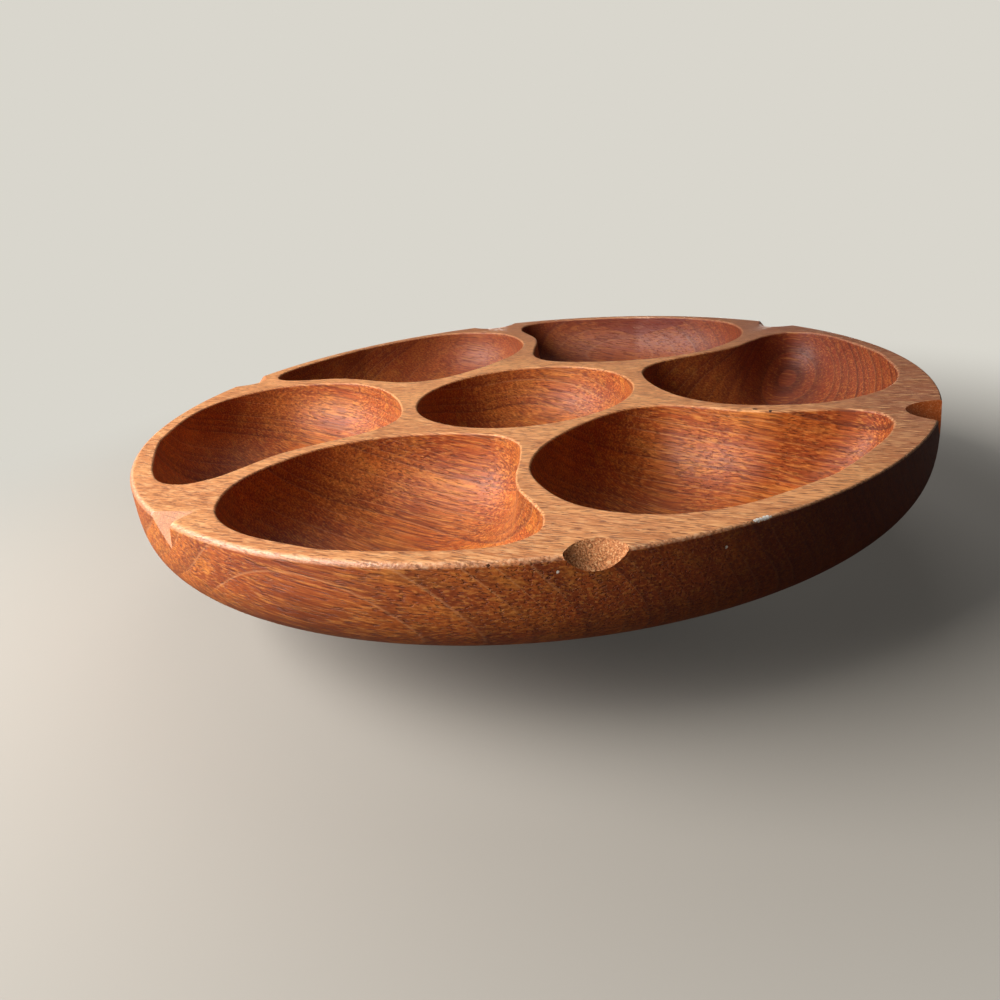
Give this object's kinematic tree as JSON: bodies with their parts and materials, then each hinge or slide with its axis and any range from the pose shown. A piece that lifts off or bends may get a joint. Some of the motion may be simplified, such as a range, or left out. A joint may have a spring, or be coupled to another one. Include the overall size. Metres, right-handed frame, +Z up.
{
  "type": "lazy susan serving bowl",
  "caption": "Round carved wooden serving tray with comma-shaped pockets around a centre bowl, turning on a flat ball bearing over a low turned base.",
  "frame": {"origin": "on the spin axis, at the underside of the base pads, where the tray stands on the table", "axes": "+Z up along the spin axis; -Y towards the front, the side that the picture is taken from; +X to the right"},
  "size_m": [0.38, 0.38, 0.082],
  "materials": {
    "tray_hardwood": "oiled red-brown tropical hardwood, satin to semi-gloss",
    "base_hardwood": "turned and oiled, satin",
    "zinc_plated_steel": "pressed sheet, bright zinc",
    "ball_steel": "polished",
    "screw_steel": "yellow passivated zinc",
    "felt": "pressed wool felt"
  },
  "bodies": {
    "base": {"turned_base": "base_hardwood", "bearing_base_plate": "zinc_plated_steel", "base_screws": "screw_steel", "base_pads": "felt"},
    "ball_ring": {"bearing_balls": "ball_steel"},
    "turntable": {"tray": "tray_hardwood", "bearing_top_plate": "zinc_plated_steel", "tray_screws": "screw_steel"}
  },
  "joints": [
    {"name": "tray_spin", "type": "hinge", "parent": "base", "child": "turntable", "pos_m": [0, 0, 0.016], "axis": [0, 0, 1], "continuous": true},
    {"name": "ball_orbit", "type": "hinge", "parent": "base", "child": "ball_ring", "pos_m": [0, 0, 0.016], "axis": [0, 0, 1], "continuous": true}
  ],
  "couplings": [
    {"joint": "ball_orbit", "follows": "tray_spin", "ratio": 0.5}
  ]
}
